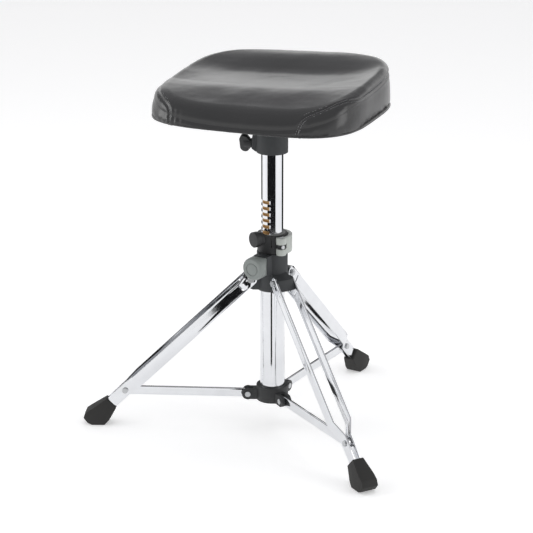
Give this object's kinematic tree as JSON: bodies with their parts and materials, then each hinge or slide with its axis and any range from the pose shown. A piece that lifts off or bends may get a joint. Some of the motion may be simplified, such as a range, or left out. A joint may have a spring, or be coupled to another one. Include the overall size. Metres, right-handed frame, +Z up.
{
  "type": "drum throne",
  "caption": "Height-adjustable drummer's seat: a dished padded saddle on a notched post, held by an index bolt and lever clamp in a folding braced tripod.",
  "frame": {"origin": "on the floor, on the axis of the column", "axes": "+Z up along the column, -Y towards the front of the stand, +X to the right as seen from the front; the seat is drawn turned 10 degrees to the left on its post, as in the picture"},
  "size_m": [0.5504, 0.4767, 0.599],
  "materials": {
    "leather": "smooth semi-gloss",
    "foam": "matte",
    "plywood": "raw",
    "base_cloth": "matte",
    "cast_black": "satin powder coat",
    "black_plastic": "satin moulded",
    "chrome": "polished",
    "steel": "zinc plated",
    "yellow_zinc": "yellow passivated",
    "lever_grey": "satin moulded",
    "knob_grey": "satin moulded",
    "bush_grey": "moulded",
    "rubber": "matte"
  },
  "bodies": {
    "leg_hub": {"leg_hub": "cast_black", "hub_bush": "black_plastic", "clamp_pad": "yellow_zinc", "leg_bolts": "steel", "leg_nuts": "steel"},
    "column": {"base_tube": "chrome", "collar": "black_plastic", "post_bush": "bush_grey", "index_spring": "steel", "lever_pin": "steel", "clamp_bolt": "steel", "lower_hub": "black_plastic", "tube_cap": "black_plastic", "brace_pins": "steel"},
    "post": {"seat_post": "chrome", "post_sleeve": "yellow_zinc", "post_cap": "black_plastic", "post_guide": "black_plastic"},
    "seat": {"seat_cover": "leather", "seat_foam": "foam", "seat_board": "plywood", "base_cloth": "base_cloth", "mount_plate": "cast_black", "mount_screws": "steel", "tee_nuts": "yellow_zinc", "seat_clamp": "cast_black", "clamp_liner": "black_plastic"},
    "wing": {"wing_grip": "black_plastic", "wing_screw": "steel"},
    "knob": {"clamp_knob": "knob_grey", "clamp_screw": "steel"},
    "lever": {"release_lever": "lever_grey"},
    "index": {"index_knob": "black_plastic", "index_bolt": "steel"},
    "leg_1": {"leg_1_left_strip": "chrome", "leg_1_right_strip": "chrome", "leg_1_rivet": "steel", "leg_1_foot": "rubber"},
    "brace_1": {"brace_1": "chrome"},
    "leg_2": {"leg_2_left_strip": "chrome", "leg_2_right_strip": "chrome", "leg_2_rivet": "steel", "leg_2_foot": "rubber"},
    "brace_2": {"brace_2": "chrome"},
    "leg_3": {"leg_3_left_strip": "chrome", "leg_3_right_strip": "chrome", "leg_3_rivet": "steel", "leg_3_foot": "rubber"},
    "brace_3": {"brace_3": "chrome"}
  },
  "joints": [
    {"name": "fold", "type": "slide", "parent": "leg_hub", "child": "column", "axis": [0, 0, 1], "range_m": [0, 0.11581]},
    {"name": "leg_1_fold", "type": "hinge", "parent": "leg_hub", "child": "leg_1", "pos_m": [0.02944, -0.017, 0.256], "axis": [0.5, 0.866, 0], "range_deg": [0, 40.62]},
    {"name": "brace_1_fold", "type": "hinge", "parent": "column", "child": "brace_1", "pos_m": [0.03464, -0.02, 0.055], "axis": [0.5, 0.866, 0], "range_deg": [0, 84.48]},
    {"name": "leg_2_fold", "type": "hinge", "parent": "leg_hub", "child": "leg_2", "pos_m": [-0.02944, -0.017, 0.256], "axis": [0.5, -0.866, 0], "range_deg": [0, 40.62]},
    {"name": "brace_2_fold", "type": "hinge", "parent": "column", "child": "brace_2", "pos_m": [-0.03464, -0.02, 0.055], "axis": [0.5, -0.866, 0], "range_deg": [0, 84.48]},
    {"name": "leg_3_fold", "type": "hinge", "parent": "leg_hub", "child": "leg_3", "pos_m": [0, 0.034, 0.256], "axis": [-1, 0, 0], "range_deg": [0, 40.62]},
    {"name": "brace_3_fold", "type": "hinge", "parent": "column", "child": "brace_3", "pos_m": [0, 0.04, 0.055], "axis": [-1, 0, 0], "range_deg": [0, 84.48]},
    {"name": "height", "type": "slide", "parent": "column", "child": "post", "axis": [0, 0, 1], "range_m": [-0.06, 0.06]},
    {"name": "seat_turn", "type": "hinge", "parent": "post", "child": "seat", "pos_m": [0, 0, 0.49], "axis": [0, 0, 1], "continuous": true},
    {"name": "wing_turn", "type": "hinge", "parent": "seat", "child": "wing", "pos_m": [-0.03864, -0.01035, 0.4752], "axis": [-0.9659, -0.2588, 0], "range_deg": [0, 450]},
    {"name": "knob_turn", "type": "hinge", "parent": "leg_hub", "child": "knob", "pos_m": [0, -0.045, 0.285], "axis": [0, -1, 0], "range_deg": [0, 450]},
    {"name": "lever_open", "type": "hinge", "parent": "column", "child": "lever", "pos_m": [0.02511, -0.0145, 0.315], "axis": [0, 0, -1], "range_deg": [0, 100]},
    {"name": "index_pull", "type": "slide", "parent": "column", "child": "index", "axis": [-0.4067, -0.9135, 0], "range_m": [-0.003, 0]}
  ],
  "couplings": [
    {"joint": "leg_1_fold", "follows": "fold", "rad_per_m": 6.1187},
    {"joint": "brace_1_fold", "follows": "fold", "rad_per_m": 12.729},
    {"joint": "leg_2_fold", "follows": "fold", "rad_per_m": 6.1187},
    {"joint": "brace_2_fold", "follows": "fold", "rad_per_m": 12.729},
    {"joint": "leg_3_fold", "follows": "fold", "rad_per_m": 6.1187},
    {"joint": "brace_3_fold", "follows": "fold", "rad_per_m": 12.729}
  ]
}
